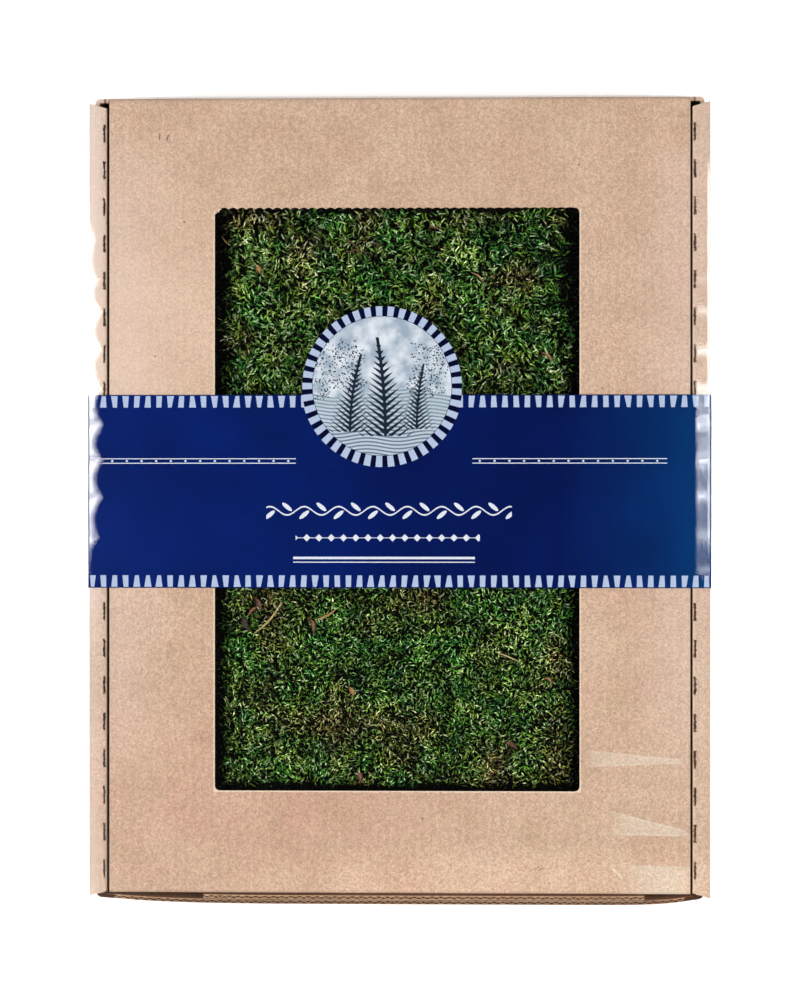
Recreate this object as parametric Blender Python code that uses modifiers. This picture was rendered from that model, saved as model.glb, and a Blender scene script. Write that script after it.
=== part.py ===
"""Sheet moss in a windowed mailer box, held by a paper band and clear shrink film.

The box lies on its base with its window up. +Y points to the hinged edge of the lid, -Y to the edge
where the lid tucks in. The origin is on the surface that the pack rests on, under its middle.
All values are in metres.
"""

import math
import random

import bmesh
import bpy
from mathutils import Matrix, Vector, noise

# The mailer box, outside
BOX_WIDTH = 0.2530
BOX_LENGTH = 0.3286
BOX_DEPTH = 0.0600
BOARD = 0.0016
FLUTE_PITCH = 0.0036
FOLD_RADIUS = 0.0015
TOUCH_GAP = 0.0003

# How the tray's walls meet its floor
WALL_FOOT = 0.0004
FOOT_WIDTH = 0.0020
FLOOR_FROM_SIDE = 0.0010
FLOOR_FROM_END = 0.0002

# Roll-over side walls: two boards with a channel between them, which takes the ears
SIDE_WALL = 0.0072
SIDE_INNER_FOLD = 0.0009
STRIP_BACK_SETBACK = 0.0020
STRIP_FRONT_SETBACK = 0.0030
STRIP_END_SLANT = 0.0021
EAR_LENGTH = 0.0560
EAR_FROM_OUTSIDE = 0.0023
BACK_CORNER_RADIUS = 0.0018
FRONT_CORNER_RADIUS = 0.0032

# The doubled front wall, which the full box pushes out at its top
FRONT_BOW = 0.0024
FRONT_BOW_LEFT_POWER = 5
FRONT_BOW_RIGHT_POWER = 12
FRONT_BOW_HEIGHT_POWER = 1.5
FRONT_BOW_STEPS = 20
FRONT_BOW_LEVELS = (0.15, 0.45, 0.75)
FRONT_WALL_DROP = 0.0012
INNER_FRONT_FROM_X = -0.0800
INNER_FRONT_TO_X = 0.1000

# Cut-scored dashes beside the inner fold of each side wall's flat top
DASH_COUNT = 21
DASH_LENGTH = 0.0072
DASH_PITCH = 0.0150
DASH_WIDTH = 0.0005
DASH_DEPTH = 0.0007
DASH_FROM_EDGE = 0.0010

# The lid
LID_SIDE_GAP = 0.0009
LID_FOLD_RADIUS = 0.0018
LID_FRONT_FROM_EDGE = 0.0044
LID_CREASE_LIP = 0.0005
TUCK_FLAP = 0.0400
TUCK_CORNER = 0.0120
TUCK_LEAN = 0.0020

# The window in the lid
WINDOW_WIDTH = 0.1486
WINDOW_LENGTH = 0.2373
WINDOW_CENTRE = (-0.0008, 0.0006)
WINDOW_CORNER = 0.0020
SCALLOP_LEFT = 0.0003
SCALLOP_RIGHT = 0.0009
SCALLOP_STEPS = 4

# The paper band and its round tab
BAND_PAPER = 0.0003
BAND_LENGTH = 0.0786
BAND_CENTRE_Y = 0.0039
TAB_RADIUS = 0.0325
TAB_CENTRE = (-0.0068, 0.0468)
TAB_SEGMENTS = 64

# The shrink film, open in the middle of both short ends
FILM = 0.0002
FILM_LONG_EDGE_STEPS = 3
FILM_END_EDGE = 0.0012
FILM_END_EDGE_STEPS = 2
FILM_OPENING_WIDTH = 0.2000
FILM_OPENING_HEIGHT = 0.0340
FILM_OPENING_CORNER = 0.0153

# The moss: low under the lid, domed in the window and drawn back from the window's edges
MOSS_CLEARANCE = 0.0004
MOSS_SEED = 4
MOSS_FINE_STEP = 0.0045
MOSS_COARSE_STEP = 0.0150
MOSS_TUFT = 0.0038
MOSS_TIP_SPREAD = 0.0016
MOSS_HOLLOW = 0.0026
MOSS_SWELL_SCALE = 28
MOSS_JITTER = 0.0013
MOSS_EDGE_DEPTH = 0.0085
MOSS_EDGE_LEAST = 0.4
MOSS_EDGE_REACH = 0.0110
MOSS_UNDER_LID_DIP = 0.0015

ARC_STEPS = 4
THROUGH_CUT = 0.0100
WELD = 0.000001

# Heights, from the table up: film, band, box
BOX_BOTTOM = FILM + TOUCH_GAP + BAND_PAPER + TOUCH_GAP
BOX_TOP = BOX_BOTTOM + BOX_DEPTH
FLOOR_TOP = BOX_BOTTOM + BOARD
HALF_WIDTH = BOX_WIDTH / 2
HALF_LENGTH = BOX_LENGTH / 2
INNER_HALF_WIDTH = HALF_WIDTH - SIDE_WALL
LID_FRONT = -HALF_LENGTH + LID_FRONT_FROM_EDGE
LID_BOTTOM = BOX_TOP - BOARD
BACK_WALL_TOP = LID_BOTTOM - LID_CREASE_LIP - TOUCH_GAP
FRONT_WALL_TOP = BOX_TOP - FRONT_WALL_DROP
FRONT_REST = -HALF_LENGTH + FRONT_BOW

# Planes that an outline is drawn in, as turns of local XY
ACROSS = Matrix(((1, 0, 0, 0), (0, 0, -1, 0), (0, 1, 0, 0), (0, 0, 0, 1)))
ALONG = Matrix(((0, 0, 1, 0), (1, 0, 0, 0), (0, 1, 0, 0), (0, 0, 0, 1)))
LEVEL = Matrix.Identity(4)


def empty_scene():
    for obj in list(bpy.data.objects):
        bpy.data.objects.remove(obj, do_unlink=True)


def new_collection(name):
    collection = bpy.data.collections.new(name)
    bpy.context.scene.collection.children.link(collection)
    return collection


def add_object(name, mesh, collection):
    obj = bpy.data.objects.new(name, mesh)
    collection.objects.link(obj)
    return obj


def add_tool(name, mesh, collection):
    """A shape that is only joined to or cut from a sub-part."""
    tool = add_object(name, mesh, collection)
    tool.hide_render = True
    tool.display_type = "WIRE"
    return tool


def add_boolean(obj, tool, operation):
    modifier = obj.modifiers.new(tool.name, "BOOLEAN")
    modifier.operation = operation
    modifier.object = tool
    modifier.solver = "EXACT"


def give_finish(obj, name, colour, roughness, alpha=1.0):
    material = bpy.data.materials.new(name)
    material.use_nodes = True
    shader = material.node_tree.nodes["Principled BSDF"]
    shader.inputs["Base Color"].default_value = (*colour, 1.0)
    shader.inputs["Roughness"].default_value = roughness
    shader.inputs["Metallic"].default_value = 0.0
    shader.inputs["Alpha"].default_value = alpha
    obj.data.materials.append(material)


def arc_points(here, before, after, radius):
    """The arc that rounds the corner at here, between the corners before and after it."""
    to_before = (before - here).normalized()
    to_after = (after - here).normalized()
    half_angle = to_before.angle(to_after) / 2
    centre = here + (to_before + to_after).normalized() * radius / math.sin(half_angle)
    start = here + to_before * radius / math.tan(half_angle) - centre
    end = here + to_after * radius / math.tan(half_angle) - centre
    first = math.atan2(start.y, start.x)
    turn = math.remainder(math.atan2(end.y, end.x) - first, 2 * math.pi)
    angles = [first + turn * k / ARC_STEPS for k in range(ARC_STEPS + 1)]
    return [centre + Vector((math.cos(a), math.sin(a))) * radius for a in angles]


def rounded_outline(corners):
    """A closed outline from corners (x, y, radius). A radius of 0 leaves the corner sharp."""
    places = [Vector(corner[:2]) for corner in corners]
    points = []
    for i, (x, y, radius) in enumerate(corners):
        if radius > 0:
            following = places[(i + 1) % len(places)]
            points += arc_points(places[i], places[i - 1], following, radius)
        else:
            points.append(Vector((x, y)))
    return points


def prism(name, outlines, length, plane, middle=(0, 0, 0)):
    """The mesh of a flat outline, with any holes in it, drawn in a plane and given a length."""
    curve = bpy.data.curves.new(name, "CURVE")
    curve.dimensions = "2D"
    curve.fill_mode = "BOTH"
    curve.extrude = length / 2
    for outline in outlines:
        spline = curve.splines.new("POLY")
        spline.points.add(len(outline) - 1)
        spline.use_cyclic_u = True
        for point, (x, y) in zip(spline.points, outline):
            point.co = (x, y, 0, 1)
    drawn = bpy.data.objects.new(name, curve)
    bpy.context.scene.collection.objects.link(drawn)
    graph = bpy.context.evaluated_depsgraph_get()
    mesh = bpy.data.meshes.new_from_object(drawn.evaluated_get(graph))
    bpy.data.objects.remove(drawn)
    bm = bmesh.new()
    bm.from_mesh(mesh)
    bmesh.ops.remove_doubles(bm, verts=bm.verts, dist=WELD)
    bmesh.ops.transform(bm, matrix=Matrix.Translation(middle) @ plane, verts=bm.verts)
    bmesh.ops.recalc_face_normals(bm, faces=bm.faces)
    bm.to_mesh(mesh)
    bm.free()
    mesh.shade_flat()
    return mesh


def box_mesh(name, low, high):
    """The mesh of a plain box between two corners."""
    bm = bmesh.new()
    bmesh.ops.create_cube(bm, size=1)
    size = Vector(high) - Vector(low)
    middle = (Vector(high) + Vector(low)) / 2
    bmesh.ops.scale(bm, vec=size, verts=bm.verts)
    bmesh.ops.translate(bm, vec=middle, verts=bm.verts)
    mesh = bpy.data.meshes.new(name)
    bm.to_mesh(mesh)
    bm.free()
    return mesh


def side_wall_mesh(side):
    """One roll-over side wall with its foot, an upside-down U with slanted ends. side is -1 or 1."""
    foot = INNER_HALF_WIDTH - FOOT_WIDTH
    outer = [
        (foot, BOX_BOTTOM, 0),
        (HALF_WIDTH, BOX_BOTTOM, FOLD_RADIUS),
        (HALF_WIDTH, BOX_TOP, FOLD_RADIUS),
        (INNER_HALF_WIDTH, BOX_TOP, SIDE_INNER_FOLD),
        (INNER_HALF_WIDTH, FLOOR_TOP, 0),
        (foot, FLOOR_TOP, 0),
    ]
    channel = [
        (INNER_HALF_WIDTH + BOARD, FLOOR_TOP, 0),
        (HALF_WIDTH - BOARD, FLOOR_TOP, 0),
        (HALF_WIDTH - BOARD, LID_BOTTOM, 0),
        (INNER_HALF_WIDTH + BOARD, LID_BOTTOM, 0),
    ]
    outlines = [
        rounded_outline([(side * x, z, radius) for x, z, radius in corners])
        for corners in (outer, channel)
    ]
    mesh = prism("side_wall", outlines, BOX_LENGTH, ACROSS)
    for vertex in mesh.vertices:
        outwards = (abs(vertex.co.x) - INNER_HALF_WIDTH) / SIDE_WALL
        setback = STRIP_END_SLANT * (1 - max(0, outwards))
        if vertex.co.y > 0:
            vertex.co.y = HALF_LENGTH - STRIP_BACK_SETBACK - setback
        else:
            vertex.co.y = -HALF_LENGTH + STRIP_FRONT_SETBACK + setback
    return mesh


def wall_with_ears(name, wall_y, inwards, corner_radius, top):
    """An end wall whose ears turn into the side walls' channels. inwards is the sign of Y to the middle."""
    ear_x = HALF_WIDTH - EAR_FROM_OUTSIDE
    ear_end = wall_y + inwards * EAR_LENGTH
    inner_radius = max(corner_radius - BOARD, 0)
    inner_x = ear_x - BOARD
    inner_y = wall_y + inwards * BOARD
    outline = rounded_outline(
        [
            (-ear_x, ear_end, 0),
            (-ear_x, wall_y, corner_radius),
            (ear_x, wall_y, corner_radius),
            (ear_x, ear_end, 0),
            (inner_x, ear_end, 0),
            (inner_x, inner_y, inner_radius),
            (-inner_x, inner_y, inner_radius),
            (-inner_x, ear_end, 0),
        ]
    )
    bottom = BOX_BOTTOM + WALL_FOOT
    return prism(name, [outline], top - bottom, LEVEL, (0, 0, (bottom + top) / 2))


def bow_front(mesh):
    """Pushes the front wall out towards its top, most in the middle of its width."""
    bm = bmesh.new()
    bm.from_mesh(mesh)
    reach = INNER_HALF_WIDTH
    straight_below = BOX_BOTTOM + FRONT_BOW_LEVELS[0] * BOX_DEPTH
    for k in range(1, FRONT_BOW_STEPS):
        x = -reach + 2 * reach * k / FRONT_BOW_STEPS
        geometry = bm.verts[:] + bm.edges[:] + bm.faces[:]
        bmesh.ops.bisect_plane(bm, geom=geometry, plane_co=(x, 0, 0), plane_no=(1, 0, 0))
    for share in FRONT_BOW_LEVELS:
        z = BOX_BOTTOM + share * BOX_DEPTH
        geometry = bm.verts[:] + bm.edges[:] + bm.faces[:]
        bmesh.ops.bisect_plane(bm, geom=geometry, plane_co=(0, 0, z), plane_no=(0, 0, 1))
    for vertex in bm.verts:
        across = min(abs(vertex.co.x) / reach, 1)
        power = FRONT_BOW_LEFT_POWER if vertex.co.x < 0 else FRONT_BOW_RIGHT_POWER
        height = max(vertex.co.z - straight_below, 0) / (FRONT_WALL_TOP - straight_below)
        vertex.co.y -= FRONT_BOW * (1 - across**power) * height**FRONT_BOW_HEIGHT_POWER
    bm.to_mesh(mesh)
    bm.free()
    return mesh


def dash_mesh():
    """Cutters for the cut-scored dashes of both side walls, in one mesh."""
    bm = bmesh.new()
    for side in (-1, 1):
        for k in range(DASH_COUNT):
            y = (k - (DASH_COUNT - 1) / 2) * DASH_PITCH
            x = side * (INNER_HALF_WIDTH + DASH_FROM_EDGE)
            size = Matrix.Diagonal((DASH_WIDTH, DASH_LENGTH, 2 * DASH_DEPTH, 1))
            place = Matrix.Translation((x, y, BOX_TOP))
            bmesh.ops.create_cube(bm, size=1, matrix=place @ size)
    mesh = bpy.data.meshes.new("dashes")
    bm.to_mesh(mesh)
    bm.free()
    return mesh


def make_tray(parts, tools):
    """The lower box: floor, end walls with ears, doubled front wall and roll-over side walls."""
    floor_side = INNER_HALF_WIDTH - FLOOR_FROM_SIDE
    floor = box_mesh(
        "floor",
        (-floor_side, FRONT_REST + FLOOR_FROM_END, BOX_BOTTOM),
        (floor_side, HALF_LENGTH - FLOOR_FROM_END, FLOOR_TOP),
    )
    tray = add_object("tray", floor, parts)
    back = wall_with_ears("back_wall", HALF_LENGTH, -1, BACK_CORNER_RADIUS, BACK_WALL_TOP)
    front = bow_front(
        wall_with_ears("front_wall", FRONT_REST, 1, FRONT_CORNER_RADIUS, FRONT_WALL_TOP)
    )
    inner_front_y = FRONT_REST + BOARD + TOUCH_GAP
    inner_front = bow_front(
        box_mesh(
            "inner_front",
            (INNER_FRONT_FROM_X, inner_front_y, BOX_BOTTOM + WALL_FOOT),
            (INNER_FRONT_TO_X, inner_front_y + BOARD, FRONT_WALL_TOP),
        )
    )
    joined = {
        "left_side": side_wall_mesh(-1),
        "right_side": side_wall_mesh(1),
        "back_wall": back,
        "front_wall": front,
        "inner_front": inner_front,
    }
    for name, mesh in joined.items():
        add_boolean(tray, add_tool(name, mesh, tools), "UNION")
    add_boolean(tray, add_tool("dashes", dash_mesh(), tools), "DIFFERENCE")
    give_finish(tray, "kraft_board_tray", (0.58, 0.40, 0.27), 0.85)
    return tray


def window_outline():
    """The window, with the scallops of the crushed flutes along its back edge."""
    centre_x, centre_y = WINDOW_CENTRE
    left, right = centre_x - WINDOW_WIDTH / 2, centre_x + WINDOW_WIDTH / 2
    front, back = centre_y - WINDOW_LENGTH / 2, centre_y + WINDOW_LENGTH / 2
    corners = rounded_outline(
        [
            (right, back, WINDOW_CORNER),
            (left, back, WINDOW_CORNER),
            (left, front, WINDOW_CORNER),
            (right, front, WINDOW_CORNER),
        ]
    )
    first = left + WINDOW_CORNER
    span = WINDOW_WIDTH - 2 * WINDOW_CORNER
    waves = round(span / FLUTE_PITCH)
    count = SCALLOP_STEPS * waves
    scallops = []
    for k in range(1, count):
        share = k / count
        height = SCALLOP_LEFT + (SCALLOP_RIGHT - SCALLOP_LEFT) * share
        rise = abs(math.sin(math.pi * share * waves))
        scallops.append(Vector((right - WINDOW_CORNER - span * share, back + height * (rise - 0.5))))
    arc = ARC_STEPS + 1
    return corners[:arc] + [p for p in scallops if p.x > first] + corners[arc:]


def make_lid(parts, tools):
    """The lid: a panel that bends down at the hinge crease and into the tuck flap, with its window."""
    flap_end = BOX_TOP - TUCK_FLAP
    lip_end = LID_BOTTOM - LID_CREASE_LIP
    inner_radius = LID_FOLD_RADIUS - BOARD
    profile = rounded_outline(
        [
            (HALF_LENGTH, lip_end, 0),
            (HALF_LENGTH, BOX_TOP, LID_FOLD_RADIUS),
            (LID_FRONT, BOX_TOP, LID_FOLD_RADIUS),
            (LID_FRONT + TUCK_LEAN, flap_end, 0),
            (LID_FRONT + BOARD + TUCK_LEAN, flap_end, 0),
            (LID_FRONT + BOARD, LID_BOTTOM, inner_radius),
            (HALF_LENGTH - BOARD, LID_BOTTOM, inner_radius),
            (HALF_LENGTH - BOARD, lip_end, 0),
        ]
    )
    half = INNER_HALF_WIDTH - LID_SIDE_GAP
    lid = add_object("lid", prism("lid", [profile], 2 * half, ALONG), parts)
    window = prism("window", [window_outline()], THROUGH_CUT, LEVEL, (0, 0, BOX_TOP))
    add_boolean(lid, add_tool("window", window, tools), "DIFFERENCE")
    for side in (-1, 1):
        corner = [
            (side * half, flap_end + TUCK_CORNER),
            (side * (half + TUCK_CORNER), flap_end + TUCK_CORNER),
            (side * (half + TUCK_CORNER), flap_end - TUCK_CORNER),
            (side * (half - TUCK_CORNER), flap_end - TUCK_CORNER),
            (side * (half - TUCK_CORNER), flap_end),
        ]
        cut = prism("flap_corner", [corner], THROUGH_CUT, ACROSS, (0, LID_FRONT, 0))
        add_boolean(lid, add_tool("flap_corner", cut, tools), "DIFFERENCE")
    give_finish(lid, "kraft_board_lid", (0.60, 0.42, 0.29), 0.85)
    return lid


def make_band(parts, tools):
    """The paper band round the box, joined in one sheet with its round tab."""

    def loop(offset):
        x, low, high = HALF_WIDTH + offset, BOX_BOTTOM - offset, BOX_TOP + offset
        radius = FOLD_RADIUS + offset
        return rounded_outline(
            [(-x, low, radius), (x, low, radius), (x, high, radius), (-x, high, radius)]
        )

    outlines = [loop(TOUCH_GAP + BAND_PAPER), loop(TOUCH_GAP)]
    ring = prism("band", outlines, BAND_LENGTH, ACROSS, (0, BAND_CENTRE_Y, 0))
    band = add_object("paper_band", ring, parts)
    bm = bmesh.new()
    bmesh.ops.create_cone(
        bm,
        cap_ends=True,
        segments=TAB_SEGMENTS,
        radius1=TAB_RADIUS,
        radius2=TAB_RADIUS,
        depth=BAND_PAPER,
        matrix=Matrix.Translation((*TAB_CENTRE, BOX_TOP + TOUCH_GAP + BAND_PAPER / 2)),
    )
    disc = bpy.data.meshes.new("tab")
    bm.to_mesh(disc)
    bm.free()
    add_boolean(band, add_tool("tab", disc, tools), "UNION")
    give_finish(band, "printed_paper", (0.01, 0.03, 0.17), 0.5)
    return band


def make_film(parts, tools):
    """The shrink film: a thin closed skin round everything, cut open in the middle of both short ends."""
    offset = TOUCH_GAP + BAND_PAPER + TOUCH_GAP + FILM
    half_width = HALF_WIDTH + offset
    half_length = HALF_LENGTH + TOUCH_GAP + FILM
    top = BOX_TOP + offset
    mesh = box_mesh("film", (-half_width, -half_length, 0), (half_width, half_length, top))
    bm = bmesh.new()
    bm.from_mesh(mesh)
    long_edges = [e for e in bm.edges if abs(e.verts[0].co.y - e.verts[1].co.y) > half_length]
    bmesh.ops.bevel(
        bm,
        geom=long_edges,
        offset=FOLD_RADIUS + offset,
        segments=FILM_LONG_EDGE_STEPS,
        profile=0.5,
        affect="EDGES",
    )
    end_edges = [
        e
        for e in bm.edges
        if abs(abs(e.verts[0].co.y) - half_length) < WELD
        and abs(e.verts[0].co.y - e.verts[1].co.y) < WELD
    ]
    bmesh.ops.bevel(
        bm,
        geom=end_edges,
        offset=FILM_END_EDGE,
        segments=FILM_END_EDGE_STEPS,
        profile=0.5,
        affect="EDGES",
    )
    bmesh.ops.recalc_face_normals(bm, faces=bm.faces)
    bm.to_mesh(mesh)
    bm.free()
    film = add_object("film_wrap", mesh, parts)
    wall = film.modifiers.new("thickness", "SOLIDIFY")
    wall.thickness = FILM
    wall.offset = -1
    wall.use_even_offset = True
    x = FILM_OPENING_WIDTH / 2
    low, high = (top - FILM_OPENING_HEIGHT) / 2, (top + FILM_OPENING_HEIGHT) / 2
    radius = FILM_OPENING_CORNER
    stadium = rounded_outline(
        [(-x, low, radius), (x, low, radius), (x, high, radius), (-x, high, radius)]
    )
    opening = prism("end_openings", [stadium], 2 * BOX_LENGTH, ACROSS)
    add_boolean(film, add_tool("end_openings", opening, tools), "DIFFERENCE")
    give_finish(film, "clear_film", (0.95, 0.95, 0.97), 0.1, alpha=0.15)
    return film


def stations(low, fine_low, fine_high, high):
    """Places along one axis: coarse steps outside the window and fine ones inside it."""

    def steps(start, end, step):
        count = max(1, round((end - start) / step))
        return [start + (end - start) * k / count for k in range(count)]

    outside_before = steps(low, fine_low, MOSS_COARSE_STEP)
    inside = steps(fine_low, fine_high, MOSS_FINE_STEP)
    outside_after = steps(fine_high, high, MOSS_COARSE_STEP)
    return outside_before + inside + outside_after + [high]


def moss_height(x, y, is_tip, draw):
    """Height of the moss at a place: a field of tufts in the window, pressed level under the lid."""
    from_side = WINDOW_WIDTH / 2 - abs(x - WINDOW_CENTRE[0])
    from_end = WINDOW_LENGTH / 2 - abs(y - WINDOW_CENTRE[1])
    inside = min(from_side, from_end)
    if inside < -MOSS_COARSE_STEP / 2:
        return LID_BOTTOM - TOUCH_GAP - MOSS_UNDER_LID_DIP * draw.random()
    rise = min(max(inside / MOSS_EDGE_REACH, 0), 1)
    rise = rise * rise * (3 - 2 * rise)
    swell = 0.5 + 0.5 * noise.noise(Vector((x, y, 0)) * MOSS_SWELL_SCALE)
    depth = MOSS_EDGE_DEPTH * (1 - rise) * (MOSS_EDGE_LEAST + (1 - MOSS_EDGE_LEAST) * swell)
    valley = 0 if is_tip else MOSS_TUFT
    return BOX_TOP - valley - MOSS_TIP_SPREAD * draw.random() - MOSS_HOLLOW * (1 - swell) - depth


def make_moss(parts):
    """The mass of sheet moss: its top is a rough field of tufts, its sides and underside are flat."""
    draw = random.Random(MOSS_SEED)
    half = INNER_HALF_WIDTH - MOSS_CLEARANCE
    front = LID_FRONT + BOARD + TUCK_LEAN + MOSS_CLEARANCE
    back = HALF_LENGTH - BOARD - MOSS_CLEARANCE
    window_x, window_y = WINDOW_CENTRE
    across = stations(
        -half, window_x - WINDOW_WIDTH / 2, window_x + WINDOW_WIDTH / 2, half
    )
    along = stations(
        front, window_y - WINDOW_LENGTH / 2, window_y + WINDOW_LENGTH / 2, back
    )
    bm = bmesh.new()
    bmesh.ops.create_grid(
        bm, x_segments=len(across) - 1, y_segments=len(along) - 1, size=0.5
    )
    valleys = set()
    for vertex in bm.verts:
        column = round((vertex.co.x + 0.5) * (len(across) - 1))
        row = round((vertex.co.y + 0.5) * (len(along) - 1))
        x, y = across[column], along[row]
        if 0 < column < len(across) - 1 and 0 < row < len(along) - 1:
            x += MOSS_JITTER * (2 * draw.random() - 1)
            y += MOSS_JITTER * (2 * draw.random() - 1)
        is_tip = (column + row) % 2 == 0
        if not is_tip:
            valleys.add(vertex)
        vertex.co = (x, y, moss_height(x, y, is_tip, draw))
    for face in list(bm.faces):
        low = [v for v in face.verts if v in valleys]
        bmesh.utils.face_split(face, low[0], low[1])
    rim = [e for e in bm.edges if e.is_boundary]
    walls = bmesh.ops.extrude_edge_only(bm, edges=rim)["geom"]
    lower = [v for v in walls if isinstance(v, bmesh.types.BMVert)]
    for vertex in lower:
        vertex.co.z = FLOOR_TOP + TOUCH_GAP
    bmesh.ops.contextual_create(bm, geom=[e for e in bm.edges if e.is_boundary])
    bmesh.ops.recalc_face_normals(bm, faces=bm.faces)
    mesh = bpy.data.meshes.new("sheet_moss")
    bm.to_mesh(mesh)
    bm.free()
    moss = add_object("sheet_moss", mesh, parts)
    give_finish(moss, "preserved_moss", (0.06, 0.14, 0.02), 0.9)
    return moss


def main():
    empty_scene()
    parts = new_collection("boxed_sheet_moss")
    tools = new_collection("cutters")
    make_tray(parts, tools)
    make_lid(parts, tools)
    make_moss(parts)
    make_band(parts, tools)
    make_film(parts, tools)


main()
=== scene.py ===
# %% [markdown]
# # Sheet moss in a window box
#
# The real thing is a flat brown mailer box of corrugated board. A window in its lid shows a thick mat
# of preserved sheet moss, a blue paper band runs round its middle, and clear shrink film holds it all.
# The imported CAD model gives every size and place, in metres: +Z is up, out of the window, and +Y points
# to the hinged edge of the lid. This lesson dresses that model: board, printed paper, film, and moss
# that is built up from thousands of small shoots.

import math

import bmesh
import bpy
import numpy as np
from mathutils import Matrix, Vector
from mathutils.bvhtree import BVHTree


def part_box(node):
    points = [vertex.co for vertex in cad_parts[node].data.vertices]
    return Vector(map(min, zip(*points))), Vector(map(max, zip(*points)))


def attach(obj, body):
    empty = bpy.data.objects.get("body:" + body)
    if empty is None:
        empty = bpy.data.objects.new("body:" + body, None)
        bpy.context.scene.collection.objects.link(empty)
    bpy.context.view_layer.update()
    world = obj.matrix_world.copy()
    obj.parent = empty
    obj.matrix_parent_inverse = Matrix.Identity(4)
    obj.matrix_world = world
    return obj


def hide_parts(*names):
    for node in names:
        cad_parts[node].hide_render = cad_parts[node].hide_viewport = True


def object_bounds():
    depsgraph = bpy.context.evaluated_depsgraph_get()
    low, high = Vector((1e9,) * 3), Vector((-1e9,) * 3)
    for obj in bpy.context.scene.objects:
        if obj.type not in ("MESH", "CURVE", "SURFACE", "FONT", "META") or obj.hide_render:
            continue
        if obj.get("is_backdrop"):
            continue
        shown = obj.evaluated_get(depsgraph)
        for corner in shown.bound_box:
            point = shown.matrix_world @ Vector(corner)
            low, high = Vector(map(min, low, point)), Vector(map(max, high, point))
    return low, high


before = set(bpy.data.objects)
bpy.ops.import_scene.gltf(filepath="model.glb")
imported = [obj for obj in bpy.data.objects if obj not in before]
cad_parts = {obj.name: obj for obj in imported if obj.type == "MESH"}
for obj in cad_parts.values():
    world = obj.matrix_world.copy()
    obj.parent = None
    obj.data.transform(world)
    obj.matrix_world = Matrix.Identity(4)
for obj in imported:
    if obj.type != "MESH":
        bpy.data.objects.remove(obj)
cad_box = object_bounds()
MM = 0.001  # one millimetre in metres, the unit of the scene
print("nodes:", sorted(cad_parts))

# %% [markdown]
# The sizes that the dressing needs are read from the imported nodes, so that nothing has to be fitted by
# eye. The few that a box of corners can't give, such as the window's, are written down here once.

# %% Sizes of the box
lid_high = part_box("lid")[1]
tray_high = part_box("tray")[1]
moss_low, moss_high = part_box("sheet_moss")
band_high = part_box("paper_band")[1]
film_low, film_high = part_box("film_wrap")
BOX_TOP = lid_high.z
BOARD = 1.6 * MM
LID_BOTTOM = BOX_TOP - BOARD
FLUTE_PITCH = 3.6 * MM
WINDOW_LEFT, WINDOW_RIGHT = -75.1 * MM, 73.5 * MM
WINDOW_FRONT, WINDOW_BACK = -118.05 * MM, 119.25 * MM
BAND_FRONT, BAND_BACK = -35.4 * MM, 43.2 * MM
TAB_X, TAB_Y, TAB_RADIUS = -6.8 * MM, 46.8 * MM, 32.5 * MM
print("box top", round(BOX_TOP / MM, 2), "mm; moss top", round(moss_high.z / MM, 2), "mm")

# %% [markdown]
# Colours are picked as sRGB hex values, the way a colour chart gives them. Blender's sockets take
# linear light, so one function turns the one into the other. Another small function adds a shader node
# with its settings and links to the tree in hand, and returns one of its outputs.

# %% Colour and node helpers
def linear(hex_colour):
    """Linear RGBA for a socket, from an sRGB hex value."""
    channels = [int(hex_colour[i:i + 2], 16) / 255 for i in (1, 3, 5)]
    return (*[c / 12.92 if c <= 0.04045 else ((c + 0.055) / 1.055) ** 2.4 for c in channels], 1.0)


class Field:
    """A node's output, which can be added, multiplied and compared like a number."""

    def __init__(self, socket):
        self.socket = socket

    def __abs__(self):
        return math_node("ABSOLUTE", self)


def plug(node, inputs):
    """Fills a node's inputs, by name or number, with fields, numbers, or colours as hex texts."""
    usable = [socket for socket in node.inputs if socket.enabled]
    for key, value in dict(inputs).items():
        socket = usable[key] if isinstance(key, int) else next(s for s in usable if s.name == key)
        if isinstance(value, Field):
            node.id_data.links.new(value.socket, socket)
        else:
            socket.default_value = linear(value) if isinstance(value, str) else value


def add(kind, inputs=(), stops=(), out=None, **settings):
    """Adds a node to the tree in hand, and returns its first output or the one that out says."""
    node = tree.nodes.new("ShaderNode" + kind)
    for name, value in settings.items():
        setattr(node, name, value)
    plug(node, inputs)
    for k, (place, colour) in enumerate(stops):
        if k > 1:
            node.color_ramp.elements.new(place)
        node.color_ramp.elements[k].position = place
        node.color_ramp.elements[k].color = linear(colour)
    return Field(next(s for s in node.outputs if s.enabled) if out is None else node.outputs[out])


def new_material(name):
    """A named material, its node tree and its Principled shader."""
    material = bpy.data.materials.new(name)
    material.use_nodes = True
    return material, material.node_tree, material.node_tree.nodes["Principled BSDF"]


print("#808080 in linear light:", round(linear("#808080")[0], 3))

# %% [markdown]
# Every pattern below is arithmetic on such outputs. A plus sign, a less-than sign and the other signs
# between two fields each add one Math node, so a pattern reads as a plain sum. A comparison gives 1
# where it holds and 0 elsewhere, a product of two of them means "and", and the larger of two is "or".

# %% Sums of fields
def math_node(operation, *values):
    return add("Math", dict(enumerate(values)), operation=operation)


SIGNS = {
    "add": "ADD", "sub": "SUBTRACT", "mul": "MULTIPLY", "truediv": "DIVIDE", "pow": "POWER",
    "lt": "LESS_THAN", "gt": "GREATER_THAN",
}
for sign, operation in SIGNS.items():
    setattr(Field, f"__{sign}__", lambda a, b, operation=operation: math_node(operation, a, b))
    setattr(Field, f"__r{sign}__", lambda a, b, operation=operation: math_node(operation, b, a))


def most(a, b):
    return math_node("MAXIMUM", a, b)


def least(a, b):
    return math_node("MINIMUM", a, b)


def mapped(value, start, stop, low, high):
    """low before start, high past stop, and evenly between. start may be the larger one."""
    return add("MapRange", dict(enumerate((value, start, stop, low, high))))


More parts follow.
